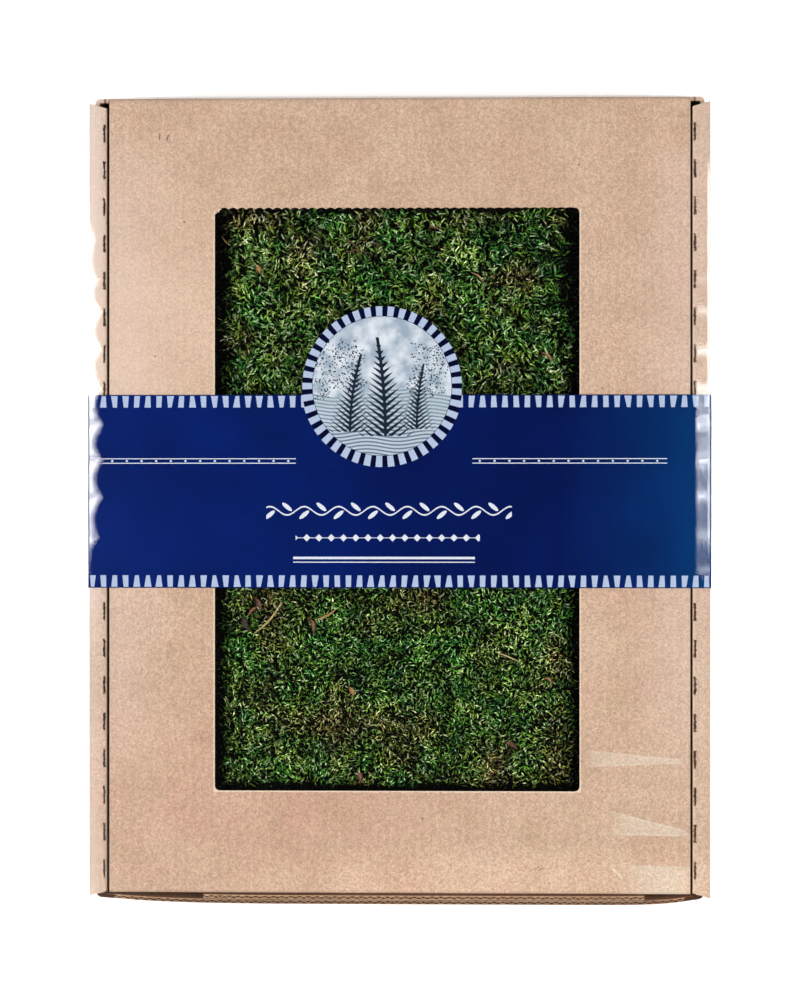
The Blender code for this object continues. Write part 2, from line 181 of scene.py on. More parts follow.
def ramp(value, start, stop):
    """0 before start and 1 past stop."""
    return mapped(value, start, stop, 0.0, 1.0)


def between(value, low, high):
    return abs(value - (low + high) / 2) < (high - low) / 2


def mix(share, first, second):
    """The first colour, or the second one where share is 1."""
    return add("Mix", {0: share, 1: first, 2: second}, data_type="RGBA")


def gradient(value, *stops):
    """A colour ramp. Each stop is a place and a hex colour."""
    return add("ValToRGB", {0: value}, stops)


def noise(place, scale, detail, **more):
    return add("TexNoise", {"Vector": place, "Scale": scale, "Detail": detail, **more})


def stretch(vector, factors):
    return add("VectorMath", {0: vector, 1: factors}, operation="MULTIPLY")


def scaled(colour, factor):
    return add("VectorMath", {0: colour, "Scale": factor}, operation="SCALE")


def distance(a, b):
    return add("VectorMath", {0: a, 1: b}, out="Value", operation="DISTANCE")


def in_millimetres():
    """The object's own coordinates, as one vector and as x, y and z."""
    mm = stretch(add("TexCoord", out="Object"), (1000, 1000, 1000))
    return mm, *(add("SeparateXYZ", {0: mm}, out=axis) for axis in range(3))


print("signs for sums:", len(SIGNS))

# %% [markdown]
# ## Camera, floor and light
#
# The photograph looks straight down on the pack from about one and a half metres, turned about two
# degrees towards its right side, which is why that side looks a little longer. Two soft boxes hang to
# the left and right of the camera, in a white room with a dark ceiling. The flat film mirrors only the
# dark ceiling, and every place where it tilts enough mirrors a soft box: those are the white wavy glints
# at its sides.

# %% Camera
MM_PER_PIXEL = 0.407
CAMERA_DISTANCE = 1.5
CAMERA_TURN = math.radians(2.2)
CAMERA_AIM = Vector((0.5 * MM, 0.4 * MM, BOX_TOP))
camera_data = bpy.data.cameras.new("camera")
camera_data.sensor_fit = "VERTICAL"
camera_data.sensor_height = 36.0
camera_data.lens = 36.0 * CAMERA_DISTANCE / (1000 * MM_PER_PIXEL * MM)
camera_data.clip_start = 0.05
camera = bpy.data.objects.new("camera", camera_data)
camera.rotation_euler = (0, CAMERA_TURN, 0)
camera.location = CAMERA_AIM + CAMERA_DISTANCE * Vector((math.sin(CAMERA_TURN), 0, math.cos(CAMERA_TURN)))
bpy.context.collection.objects.link(camera)
bpy.context.scene.camera = camera
bpy.context.scene.view_settings.view_transform = "Standard"
print("lens", round(camera_data.lens, 1), "mm")

# %% Floor
bpy.ops.mesh.primitive_plane_add(size=8)
floor = bpy.context.object
floor.name = "floor"
floor_paint, tree, shader = new_material("white_paper_sweep")
plug(shader, {"Base Color": "#f7f7f7", "Roughness": 0.9, "Emission Strength": 0.5})
floor.data.materials.append(floor_paint)
floor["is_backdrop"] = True
print("floor", round(floor.dimensions.x), "m wide")

# %% Light
SOFT_BOX_WATTS = 19.5
SOFT_BOX_X, SOFT_BOX_Y, SOFT_BOX_Z = 0.86, -0.2, 1.1
SOFT_BOX_SIZE = (0.5, 1.3)
for name, side in (("left", -1), ("right", 1)):
    light = bpy.data.lights.new("soft_box_" + name, "AREA")
    light.shape = "RECTANGLE"
    light.size, light.size_y = SOFT_BOX_SIZE
    light.energy = SOFT_BOX_WATTS
    lamp = bpy.data.objects.new("soft_box_" + name, light)
    lamp.location = (side * SOFT_BOX_X, SOFT_BOX_Y, SOFT_BOX_Z)
    lamp.rotation_euler = (Vector((0, 0, 0)) - lamp.location).to_track_quat("-Z", "Y").to_euler()
    bpy.context.collection.objects.link(lamp)
world = bpy.data.worlds.new("studio")
bpy.context.scene.world = world
world.use_nodes = True
tree = world.node_tree
upwards = add("SeparateXYZ", {0: add("TexCoord", out="Generated")}, out=2)
room = gradient(upwards, (0.86, "#ffffff"), (0.96, "#101010"))
plug(tree.nodes["Background"], {"Color": room, "Strength": 0.48})
print("two soft boxes of", SOFT_BOX_WATTS, "W each")

# %% [markdown]
# ## Corrugated kraft board
#
# The box is E-flute board: two brown paper liners glued to a wavy sheet between them, 1.6 mm thick in
# all, with a wave every 3.6 mm. Kraft liner is unbleached paper. It looks matt and mottled, with fine
# fibres, darker specks and pinkish clouds, and its flutes show through as very faint stripes. Where the
# board is cut, the edge is paler and fuzzy, and the hollows round the wave are painted dark as shade, in a
# zigzag. One place is a little warmer, and the film's sheen is painted on as a pale veil in one place, on
# the side strips and on the lid's edges. All of it is drawn from the object's own coordinates in
# millimetres, so each pattern has its real size.

# %% Kraft board
kraft, tree, shader = new_material("kraft_liner_board")
mm, x_mm, y_mm, z_mm = in_millimetres()
CLOUDS_PER_MM, BLOTS_PER_MM, PULP_PER_MM = 0.045, 0.075, 1.3
clouds = noise(mm, CLOUDS_PER_MM, 4.0, Roughness=0.6)
blots = noise(mm, BLOTS_PER_MM, 3.0, Roughness=0.55)
pulp = noise(mm, PULP_PER_MM, 3.0, Roughness=0.75)
fibres = noise(stretch(mm, (2.4, 0.5, 2.4)), 1.0, 3.0, Distortion=1.6)
print("kraft clouds are about", round(1 / CLOUDS_PER_MM), "mm wide")

# %% Kraft colours
STRIP_INNER_X = 118.2
WARM_PLACE, SHEEN_PLACE = (-24, -113, 61), (-112, 68, 61)
tan = gradient(clouds, (0.35, "#ccab90"), (0.65, "#d7b89e"))
pink = mapped(blots, 0.46, 0.72, 0.0, 0.45)
tone = mix(pink, tan, "#d9ae9a")
grain = mapped(pulp, 0.34, 0.66, 0.685, 1.255)
streak = mapped(fibres, 0.35, 0.65, 0.92, 1.07)
flute = math_node("SINE", x_mm * (2 * math.pi * MM / FLUTE_PITCH))
flute_tone = mapped(flute, -1.0, 1.0, 0.98, 1.015)
brightness = grain * streak * flute_tone
front_fold = mapped(y_mm, -138.0, -153.0, 0.0, 0.14) * ramp(x_mm, -75.0, -20.0)
brightness = brightness * (front_fold + 1.0)
mottled = scaled(tone, brightness)
warm = mapped(distance(stretch(mm, (0.5, 1, 1)), WARM_PLACE), 14.0, 56.0, 0.75, 0.0)
mottled = mix(warm, mottled, stretch(mottled, (0.95, 0.855, 0.86)))
# a pale veil painted where the film's sheen lies over the upper left of the lid
film_sheen_patch = mapped(distance(mm, SHEEN_PLACE), 12.0, 92.0, 0.3, 0.0)
mottled = mix(film_sheen_patch, mottled, "#ffe2cd")
from_centre = abs(x_mm)
# the film's sheen is painted as a pale veil on the side strips and the lid's edges, strongest on the left
# strip
strip_sheen = mapped(from_centre, 120.5, 124.6, 0.22, 0.52)
left_sheen = strip_sheen * mapped(y_mm, -66.0, -30.0, 0.5, 1.0)
right_sheen = mapped(y_mm, 0.0, 50.0, 0.05, 0.17)
strip_veil = add("Mix", {0: x_mm < 0.0, 1: right_sheen, 2: left_sheen}, data_type="FLOAT")
strip_veil = strip_veil * (from_centre > STRIP_INNER_X)
lid_sheen = mapped(from_centre, 92.0, 112.0, 0.0, 0.13) * ramp(y_mm, -125.0, -70.0) * ramp(y_mm, 152.0, 120.0)
mottled = mix(most(strip_veil, lid_sheen), mottled, "#ffeee6")
speck_cells = add("TexVoronoi", {"Vector": mm, "Scale": 0.16, "Randomness": 1.0})
speck_reach = mapped(noise(mm, 0.35, 1.0), 0.5, 0.75, 0.0, 0.09)
speckled = mix(speck_cells < speck_reach, mottled, "#7c5a44")
print("kraft colours:", len(tree.nodes), "nodes")

# %% [markdown]
# The cut edges come next. Round the window the torn liner leaves a pale line about half a millimetre
# wide, and the wall of the cut shows the two liners with the wave between them, with painted shade in
# the hollows. The score cuts on the side strips are dark inside, with a painted shadow round their torn
# rims and in the gap beside the lid, and a painted highlight along each strip's bend. The raw top edges
# of the front walls have painted shade in their hollows. Short dark scuffs come last.

# %% Raw edges of the board
middle_x, middle_y = (WINDOW_LEFT + WINDOW_RIGHT) / 2 / MM, (WINDOW_FRONT + WINDOW_BACK) / 2 / MM
half_x, half_y = (WINDOW_RIGHT - WINDOW_LEFT) / 2 / MM, (WINDOW_BACK - WINDOW_FRONT) / 2 / MM
from_middle_y = y_mm - middle_y
behind = from_middle_y - half_y
outside = most(most(abs(x_mm - middle_x) - half_x, from_middle_y * -1.0 - half_y), behind)
ragged = mapped(pulp, 0.35, 0.65, 0.35, 0.75)
pale_rim = mix((outside < ragged) * (behind < -0.8), speckled, "#ecd3bb")
depth = BOX_TOP / MM - z_mm
MID_BOARD = BOARD / 2 / MM
off_wave = abs(depth - (flute * 0.42 + MID_BOARD))
in_liner = abs(depth - MID_BOARD) > 0.55
# painted shade: the hollows between the liners and the wave are dark
cut_wall = mix(most(off_wave < 0.2, in_liner), "#3a2417", "#c79f7d")
on_wall = (outside < 0.05) * (depth > 0.06)
walled = mix(on_wall, pale_rim, cut_wall)
print("window", round(2 * half_x, 1), "by", round(2 * half_y, 1), "mm")

# %% Score cuts and front edges
SCORE_X, SCORE_PITCH, SCORE_SHARE = 120.3, 15.0, 0.5
CREASE_X, LID_EDGE_X = 119.85, 119.0
FRONT_WALL_TOP = tray_high.z - 1.2 * MM
SHADOW = "#2a140a"
score_off = abs(abs(x_mm) - SCORE_X)
in_cut = (score_off < 0.3) * (depth > 0.08)
score_part = math_node("FRACT", y_mm / SCORE_PITCH + 0.5) - 0.5
beside_cut = abs(score_part) < SCORE_SHARE / 2
jag_reach = mapped(noise(mm, 1.6, 1.0), 0.42, 0.6, 0.24, 0.66)
torn = (score_off < jag_reach) * beside_cut
on_strip = abs(depth) < 0.9
torn_rim = torn * on_strip * (1.0 - (score_off < 0.24))
scored = mix(in_cut, walled, "#7a5a3e")
# a painted highlight along the rounded bend at each strip's inner edge, between the score cuts
crease = (abs(x_mm - CREASE_X) < 0.26) * (1.0 - beside_cut) * on_strip * 0.7
scored = mix(crease, scored, "#f0d8bb")
scored = mix(torn_rim, scored, SHADOW)
SCUFFS = (
    # x, y, lean, half the length
    (-97.6, 148.6, 0.1, 1.3), (-94.4, 148.2, 0.35, 1.2), (55.6, -149.2, 2.38, 0.73),
    (57.8, -149.7, 1.76, 0.63), (61.3, -155.3, 1.0, 0.3), (59.2, -129.4, 1.2, 0.25), (87.8, -86.1, 0.0, 0.3),
)
for scuff_x, scuff_y, lean, half_length in SCUFFS:
    scuff_up = y_mm - scuff_y
    scuff_off = x_mm - scuff_x - scuff_up * lean
    scuffed = (abs(scuff_off) < 0.25) * (abs(scuff_up) < half_length)
    scored = mix(scuffed * 0.8, scored, "#4a3a32")
in_gap = (x_mm > (y_mm * 0.0018 + LID_EDGE_X) * -1.0) * ((x_mm < -STRIP_INNER_X) * on_strip)
scored = mix(in_gap, scored, SHADOW)
faces_up = add("SeparateXYZ", {0: add("NewGeometry", out="Normal")}, out=2) > 0.8
# painted shade: the front walls' top between the standing papers is dark, as in the board's hollows
front_edge = faces_up * (y_mm < -159.95) * (abs(z_mm - FRONT_WALL_TOP / MM) < 0.1)
edged = mix(front_edge, scored, "#4a2f1f")
bump = add("Bump", {"Height": pulp * 0.5 + flute * 0.05, "Strength": 0.35, "Distance": 0.12 * MM})
plug(shader, {"Base Color": edged, "Roughness": 0.88, "Specular IOR Level": 0.25, "Normal": bump})
for name in ("tray", "lid"):
    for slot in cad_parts[name].material_slots:
        slot.material = kraft
print("kraft board:", len(tree.nodes), "nodes")

# %% [markdown]
# ## Raw flutes of the front wall
#
# The front wall is a double board whose top edges are cut. From above they show as pale liner lines
# with a wavy ribbon between them. A strip of mesh stands on the CAD wall for each of these papers: a
# long flat grid, bent along the bow of the wall, and given its thickness by Solidify.

# %% Helpers for new objects
def new_grid(columns, rows):
    """A flat grid, one unit wide and deep."""
    bpy.ops.mesh.primitive_grid_add(x_subdivisions=columns, y_subdivisions=rows, size=1)
    return bpy.context.object


def start_edit():
    """Goes into edit mode with everything selected."""
    bpy.ops.object.mode_set(mode="EDIT")
    bpy.ops.mesh.select_all(action="SELECT")


def end_edit(turn_outwards=False):
    """Leaves edit mode, with all faces turned outwards if asked."""
    if turn_outwards:
        bpy.ops.mesh.select_all(action="SELECT")
        bpy.ops.mesh.normals_make_consistent(inside=False)
    bpy.ops.object.mode_set(mode="OBJECT")


def pick(*objects):
    """Selects these objects and no others, and makes the first one active."""
    bpy.ops.object.select_all(action="DESELECT")
    for obj in objects:
        obj.select_set(True)
    bpy.context.view_layer.objects.active = objects[0]


def points_of(obj):
    return np.array([vertex.co for vertex in obj.data.vertices])


def set_points(obj, x, y, z):
    obj.data.vertices.foreach_set("co", np.column_stack((x, y, z)).ravel())


def settle(obj, name, material):
    """Puts an object's place into its mesh, names it and gives it its finish."""
    pick(obj)
    bpy.ops.object.transform_apply(location=True, rotation=True, scale=True)
    obj.name = obj.data.name = name
    obj.data.materials.clear()
    obj.data.materials.append(material)
    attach(obj, "root")
    print(name, len(obj.data.polygons), "faces")


def thicken(obj, thickness, offset=-1):
    """Gives a sheet its thickness. With offset 0 it lies in the middle of it."""
    wall = obj.modifiers.new("thickness", "SOLIDIFY")
    wall.thickness, wall.offset = thickness, offset
    pick(obj)
    bpy.ops.object.modifier_apply(modifier=wall.name)


# %% Flutes and liners of the front edge
FRONT_BOW = 2.4 * MM
FRONT_REST = -164.3 * MM + FRONT_BOW
INNER_HALF_WIDTH = 119.3 * MM
EDGE_PAPER = 0.28 * MM


def front_face(x):
    """Y of the front wall's outer face at its top, along its width."""
    power = np.where(x < 0, 5, 12)
    across = np.minimum(np.abs(x) / INNER_HALF_WIDTH, 1)
    return FRONT_REST - FRONT_BOW * (1 - across**power)


def edge_ribbon(low_x, high_x, inwards, swing):
    """A ribbon of paper that stands on the front wall. swing is the height of its wave."""
    steps = int((high_x - low_x) / FLUTE_PITCH * 10)
    ribbon = new_grid(steps, 1)
    points = points_of(ribbon)
    x = low_x + (points[:, 0] + 0.5) * (high_x - low_x)
    z = FRONT_WALL_TOP - 0.4 * MM + (points[:, 1] + 0.5) * 0.75 * MM
    y = front_face(x) + inwards + swing * np.sin(2 * np.pi * x / FLUTE_PITCH)
    set_points(ribbon, x, y, z)
    thicken(ribbon, EDGE_PAPER, 0)
    return ribbon


ribbons = []
# the outer layer, and the inner one that ends short of the corners
for start, low_x, high_x in ((0, -0.116, 0.116), (1.9 * MM, -0.0798, 0.0998)):
    for share, swing in ((0.09, 0), (0.5, 0.42 * MM), (0.91, 0)):
        ribbons.append(edge_ribbon(low_x, high_x, start + share * BOARD, swing))
pick(*ribbons)
bpy.ops.object.join()
raw_paper, tree, shader = new_material("raw_board_edge")
fuzz = noise(add("TexCoord", out="Object"), 1800.0, 3.0)
plug(shader, {"Base Color": gradient(fuzz, (0.35, "#b4845f"), (0.65, "#eac5a0")), "Roughness": 0.95})
settle(ribbons[0], "front_edge_flutes", raw_paper)

# %% [markdown]
# ## The printed band
#
# The band is coated paper, printed navy, with a border of small hand-cut teeth along both edges and a
# round tab. Its round picture here is a plain design of fern fronds over hatched hills, and plain
# rules, lozenges and a leafy vine fill the rows below. A picture needs no image file: each shape is a
# yes-or-no sum on the paper's own coordinates in millimetres, mixed over the navy one by one.

# %% Tooth borders
paper, tree, shader = new_material("coated_band_paper")
mm, x_mm, y_mm, z_mm = in_millimetres()
TOOTH_PITCH, TOOTH_START, TOOTH_END = 4.55, 0.4, 5.1
along = x_mm + math_node("SIGN", x_mm) * (band_high.z / MM - z_mm)
from_back = BAND_BACK / MM - y_mm
from_front = y_mm - BAND_FRONT / MM
from_edge = least(from_back, from_front)
other_row = (from_back < 20.0) * 77.0
cell = along / TOOTH_PITCH + other_row
whole = math_node("FLOOR", cell)
part = math_node("FRACT", cell) - 0.5
chance = add("TexWhiteNoise", {"W": whole}, noise_dimensions="1D", out="Value")
other = add("TexWhiteNoise", {"W": whole + 0.37}, noise_dimensions="1D", out="Value")
tooth_height = add("MapRange", {0: from_edge, 1: TOOTH_START, 2: TOOTH_END, 3: -0.5, 4: 0.5}, clamp=False)
taper = (chance - 0.5) * 0.36
lean = (other - 0.5) * 0.16
half_tooth = 0.24 + taper * tooth_height
tooth = abs(part - lean * tooth_height) < half_tooth
teeth = tooth * between(from_edge, TOOTH_START, TOOTH_END)
print("about", round(2 * band_high.x / MM / TOOTH_PITCH), "teeth along each edge")

# %% The round tab
tab_x = x_mm - TAB_X / MM
tab_y = y_mm - TAB_Y / MM
radius = math_node("SQRT", tab_x * tab_x + tab_y * tab_y)
PICTURE_RADIUS, TAB_TEETH = 28.3, 41
on_tab = radius < TAB_RADIUS / MM + 0.2
on_picture = radius < PICTURE_RADIUS
turn = math_node("ARCTAN2", tab_y, tab_x) * (TAB_TEETH / (2 * math.pi))
ring_part = math_node("FRACT", turn) - 0.5
ring_tooth = (abs(ring_part) < 0.275) * between(radius, PICTURE_RADIUS + 0.2, 33.0)
on_top = z_mm > BOX_TOP / MM
band_teeth = teeth * (1.0 - on_tab * on_top)
print("round picture", 2 * PICTURE_RADIUS, "mm across,", TAB_TEETH, "teeth")

# %% The picture in the tab
p = tab_x / PICTURE_RADIUS
q = tab_y / PICTURE_RADIUS


def hill(base, swing, speed, shift):
    """The land under a wavy skyline."""
    crest = math_node("SINE", p * speed + shift) * swing
    return q < crest + base


def frond(foot_x, foot_y, size, bow):
    """A fern frond: pairs of leaflets that slant up from a bowed stem and shorten to the tip."""
    u = (q - foot_y) / size
    stem = u * u * bow + foot_x
    off = abs(p - stem) / size
    reach = (1.0 - u) * 0.33
    slant = (u - off * 0.75) * 15.0
    fold = abs(math_node("FRACT", slant) - 0.5)
    width = (1.0 - off / reach) * 0.36
    leaflets = (fold < width) * (off < reach)
    drawn = most(leaflets, off < 0.016)
    return drawn * between(u, 0.0, 1.0)


picture = gradient(noise(mm, 0.16, 4.0), (0.36, "#9eafc0"), (0.64, "#dfe6ee"))
hatching = math_node("SINE", q * 120.0 + math_node("SINE", p * 7.0) * 3.0) > 0.25
LAND = (
    (hill(-0.10, 0.07, 3.4, 0.4), "#b9c8d1", "#8598a6"),
    (hill(-0.34, 0.09, 2.6, 2.6), "#c2cfda", "#8092a4"),
    (hill(-0.62, 0.05, 4.5, 1.0), "#bccad6", "#6a7b8e"),
)
for ground, plain, ink in LAND:
    picture = mix(ground, picture, mix(hatching, plain, ink))
stipple = add("TexVoronoi", {"Vector": mm, "Scale": 1.1})
bush = noise(mm, 0.2, 2.0)
left_crown = most(abs(p - -0.62) * 2.6, abs(q - 0.28) * 2.2)
right_crown = most(abs(p - 0.66) * 3.2, abs(q - 0.2) * 2.4)
leafy = least(left_crown, right_crown) + (bush - 0.5) * 1.6 < 0.85
picture = mix(leafy * (stipple < 0.36), picture, "#233240")
FRONDS = ((-0.46, -0.66, 1.12, 0.16), (0.05, -0.72, 1.42, -0.12), (0.50, -0.62, 0.94, 0.10))
for recipe in FRONDS:
    picture = mix(frond(*recipe), picture, "#1b2636")
print("the picture has", len(FRONDS), "fronds")

# %% Rules, lozenges and vine
def rule(y, low_x, high_x, weight):
    return (abs(y_mm - y) < weight) * between(x_mm, low_x, high_x)


def lozenges(y, low_x, high_x, pitch, size):
    """A row of small diamonds."""
    step = math_node("FRACT", x_mm / pitch)
    reach = abs(step - 0.5) * pitch + abs(y_mm - y)
    return (reach < size) * between(x_mm, low_x, high_x)


VINE_Y, VINE_LOW, VINE_HIGH, VINE_PITCH = -4.0, -54.0, 46.0, 7.0
phase = x_mm / VINE_PITCH
swing = math_node("SINE", phase * math.pi)
vine_y = swing * 1.7 + VINE_Y
vine = abs(y_mm - vine_y) < 0.32
leaf_side = math_node("FRACT", phase * 0.5) * 2.0 - 1.0
leaf_up = math_node("SIGN", leaf_side * -1.0)
leaf_x = (math_node("FRACT", phase) - 0.5) * VINE_PITCH
leaf_y = (y_mm - VINE_Y) * leaf_up
tilt_a = leaf_x * 0.77 + (leaf_y + 1.6) * 0.64
tilt_b = (leaf_y + 1.6) * 0.77 - leaf_x * 0.64
oval = tilt_a * tilt_a * 0.16 + tilt_b * tilt_b * 1.4
vine = most(vine, oval < 1.0) * between(x_mm, VINE_LOW, VINE_HIGH)
marks = []
for ends in ((-121.0, -42.0), (30.0, 109.0)):
    marks += rule(17.2, *ends, 0.17), rule(15.4, *ends, 0.17), lozenges(16.3, *ends, 6.0, 0.55)
marks += lozenges(-15.0, -42.0, 33.0, 5.0, 1.5), rule(-15.0, -42.0, 33.0, 0.13)
marks += rule(-23.2, -43.0, 31.0, 0.5), rule(-24.9, -43.0, 31.0, 0.2)
ornament = vine
for mark in marks:
    ornament = most(ornament, mark)
ornament = ornament * on_top
print("vine and", len(marks), "plain marks")

# %% Paper colours and surface
NAVY_ACROSS = (
    (0.0, "#001e68"), (0.35, "#001a5f"), (0.48, "#001557"), (0.76, "#001350"),
    (0.81, "#001d5c"), (0.93, "#002963"), (1.0, "#00376d"),
)
navy = gradient(ramp(x_mm, -127.0, 127.0), *NAVY_ACROSS)
navy = scaled(navy, mapped(noise(mm, 0.03, 3.0), 0.35, 0.68, 0.86, 1.16))
PALE_INK = "#b3c2de"
colour = mix(band_teeth, navy, PALE_INK)
colour = mix(ornament, colour, "#dfe4f0")
colour = mix(on_tab * on_top, colour, "#00062c")
colour = mix(ring_tooth * on_top, colour, PALE_INK)
colour = mix(on_picture * on_top, colour, picture)
# the paper dips where the window's edges end under it
left_dip, right_dip = (abs(x_mm - edge / MM) * 2.2 for edge in (WINDOW_LEFT, WINDOW_RIGHT))
crease = least(least(left_dip, right_dip), 1.0)
relief = crease + noise(mm, 2.5, 2.0) * 0.25
bump = add("Bump", {"Height": relief, "Strength": 0.5, "Distance": 0.08 * MM})
plug(shader, {"Base Color": colour, "Roughness": 0.5, "Specular IOR Level": 0.03, "Normal": bump})
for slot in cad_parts["paper_band"].material_slots:
    slot.material = paper
print("band print:", len(tree.nodes), "nodes")

# %% [markdown]
# ## The moss bed
#
# Under the living tips a moss sheet is a dark felt of dead stems and crumbs of soil. It shows only as
# near-black gaps, so it is painted near-black: its own dark tone and painted shade in one. The bed is a
# grid that follows the CAD surface a few millimetres down, closed by its sides and underside, and it
# stands for the CAD node.

# %% Height of the moss
cad_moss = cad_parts["sheet_moss"]
cad_tree = BVHTree.FromPolygons(
    [v.co.copy() for v in cad_moss.data.vertices], [tuple(f.vertices) for f in cad_moss.data.polygons]
)


def moss_top(x, y):
    """Heights of the CAD moss at places, by rays from above."""
    heights = np.empty(len(x))
    for k in range(len(x)):
        hit = cad_tree.ray_cast(Vector((x[k], y[k], 0.1)), Vector((0, 0, -1)))[0]
        heights[k] = hit.z if hit else moss_high.z
    return heights


print("moss at the middle is", round(moss_top([0], [0])[0] / MM, 1), "mm high")

# %% Bed mesh
BED_STEP, BED_DEPTH, BED_GAP = 2.6 * MM, 2.4 * MM, 0.1 * MM
columns = int((moss_high.x - moss_low.x) / BED_STEP)
rows = int((moss_high.y - moss_low.y) / BED_STEP)
bed = new_grid(columns, rows)
points = points_of(bed)
x = moss_low.x + BED_GAP + (points[:, 0] + 0.5) * (moss_high.x - moss_low.x - 2 * BED_GAP)
y = moss_low.y + BED_GAP + (points[:, 1] + 0.5) * (moss_high.y - moss_low.y - 2 * BED_GAP)
heights = moss_top(x, y).reshape(rows + 1, columns + 1)
for _ in range(3):
    padded = np.pad(heights, 1, mode="edge")
    heights = (padded[:-2, 1:-1] + padded[2:, 1:-1] + padded[1:-1, :-2] + padded[1:-1, 2:] + 4 * heights) / 8
rng = np.random.default_rng(5)
set_points(bed, x, y, heights.ravel() - BED_DEPTH + rng.normal(0, 0.35 * MM, len(x)))
start_edit()
bpy.ops.mesh.region_to_loop()
bpy.ops.mesh.extrude_edges_move(TRANSFORM_OT_translate={"value": (0, 0, -0.05)})
end_edit()
for vertex in bed.data.vertices:
    if vertex.select:
        vertex.co.z = moss_low.z + BED_GAP
# the rim is still selected
bpy.ops.object.mode_set(mode="EDIT")
bpy.ops.mesh.edge_face_add()
end_edit(turn_outwards=True)
humus, tree, shader = new_material("moss_humus_and_painted_shade")
crumbs = noise(add("TexCoord", out="Object"), 900.0, 4.0, Roughness=0.7)
# near-black: the felt's own dark tone and painted shade in one
soil = gradient(crumbs, (0.4, "#020301"), (0.62, "#080b04"), (0.8, "#161008"))
plug(shader, {"Base Color": soil, "Roughness": 0.95, "Specular IOR Level": 0.1})
settle(bed, "moss_bed", humus)
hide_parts("sheet_moss")

# %% [markdown]
# ## One shoot, grown step by step
#
# Sheet moss is a carpet of curled, pinnate shoots. Each is a stem half a millimetre thick, wrapped in
# tiny overlapping leaves that make it look beaded. A shoot starts as a three-sided ring. It is extruded
# a step, turned a little and made wider or narrower in turn, until the last ring is merged to a tip.
# Side leaves are slim three-sided cones. Seven such shoots with other bends are enough: turned, tilted
# and stretched they never look the same twice.

# %% Grow the master shoots
def grow_shoot(steps, length, girth, first_tilt, last_tilt, swerve, leaves):
    """One shoot that leaves the ground at first_tilt from upright and ends at last_tilt."""
    bpy.ops.mesh.primitive_circle_add(vertices=3, radius=girth * 0.6, fill_type="NGON")
    shoot = bpy.context.object
    start_edit()
    here, stations = Vector((0, 0, 0)), []
    for k in range(steps):
        share = (k + 0.5) / steps
        tilt = first_tilt + (last_tilt - first_tilt) * share
        heading = Vector((math.sin(tilt), math.sin(swerve * share) * math.sin(tilt), math.cos(tilt)))
        step = heading.normalized() * length / steps
        here = here + step
        bpy.ops.mesh.extrude_region_move(TRANSFORM_OT_translate={"value": step})
        ring = bmesh.from_edit_mesh(shoot.data)
        chosen = [v for v in ring.verts if v.select]
        width = girth * (1.0 if k % 2 else 0.62) * (1 - 0.4 * share)
        across = heading.cross(Vector((0, 1, 0))).normalized()
        level = across.cross(heading).normalized()
        for corner, vertex in enumerate(chosen):
            angle = 2 * math.pi * corner / 3 + 0.4
            vertex.co = here + (across * math.cos(angle) + level * math.sin(angle)) * width
        bmesh.update_edit_mesh(shoot.data)
        stations.append((here, heading, across, level, share))
    bpy.ops.mesh.merge(type="CENTER")
    for here, heading, across, level, share in stations[1:1 + leaves // 2]:
        for side in (-1, 1):
            aim = (heading * 0.8 + level * side + across * 0.25).normalized()
            size = girth * 3.4 * (1.1 - share)
            bpy.ops.mesh.primitive_cone_add(
                vertices=3, radius1=girth * 0.42, radius2=0, depth=size,
                location=here + aim * size * 0.5, rotation=aim.to_track_quat("Z", "Y").to_euler(),
            )
    end_edit(turn_outwards=True)
    return shoot


# rings, length, girth, first tilt, last tilt, swerve, side leaves
LONG_SHOOTS = (
    (5, 4.4, 0.50, 0.4, 2.2, 0.5, 0),
    (5, 3.8, 0.46, 0.6, 2.7, -0.7, 0),
    (5, 4.8, 0.40, 0.3, 1.7, 0.9, 6),
    (5, 3.4, 0.52, 0.8, 2.4, 0.2, 0),
    (4, 3.2, 0.42, 0.2, 1.1, -0.6, 0),
    (5, 4.2, 0.44, 0.5, 2.9, 1.3, 0),
    (5, 3.6, 0.38, 0.6, 1.6, -1.0, 6),
)
SHORT_SHOOTS = (
    (4, 2.7, 0.36, 0.4, 2.4, 0.6, 0),
    (4, 2.3, 0.33, 0.7, 2.9, -0.9, 0),
    (4, 3.0, 0.30, 0.5, 2.0, 1.1, 0),
    (4, 2.1, 0.35, 0.3, 1.2, -0.4, 0),
    (3, 1.9, 0.32, 0.1, 0.6, 0.3, 0),
    (4, 2.5, 0.31, 0.9, 2.6, -1.4, 0),
    (4, 3.3, 0.28, 0.6, 1.7, 0.8, 0),
)


def master_meshes(recipes):
    """The points and triangles of a set of master shoots."""
    masters = []
    for steps, length, girth, *bend in recipes:
        shoot = grow_shoot(steps, length * MM, girth * MM, *bend)
        shoot.data.calc_loop_triangles()
        corners = np.array([t.vertices[:] for t in shoot.data.loop_triangles])
        masters.append((points_of(shoot), corners))
        bpy.data.objects.remove(shoot)
    print("master shoots, triangles:", [len(corners) for points, corners in masters])
    return masters


long_masters, short_masters = master_meshes(LONG_SHOOTS), master_meshes(SHORT_SHOOTS)

# %% [markdown]
# ## A carpet of shoots
#
# Each patch takes a jittered grid of places, gives each one a master, a turn, a tilt and a size, and
# writes all the copies into one mesh with numpy. Three numbers ride along on every point: the shoot's
# tone, how much light the material paints on it, and how dry the moss is there. The material reads
# them, and paints shade deep among the stems and along the window's edges. A shoot never rises above
# the film, the band or the underside of the lid.

# %% Smooth noise for patches
def soft_noise(x, y, cell, seed):
    """Smooth random values from 0 to 1, with bumps about one cell wide."""
    table = np.random.default_rng(seed).random((64, 64))
    u, v = x / cell + 30, y / cell + 30
    i, j = np.floor(u).astype(int), np.floor(v).astype(int)
    a, b = u - i, v - j
    a, b = a * a * (3 - 2 * a), b * b * (3 - 2 * b)
    i, j = i % 63, j % 63
    near = table[i, j] * (1 - a) + table[i + 1, j] * a
    far = table[i, j + 1] * (1 - a) + table[i + 1, j + 1] * a
    return near * (1 - b) + far * b


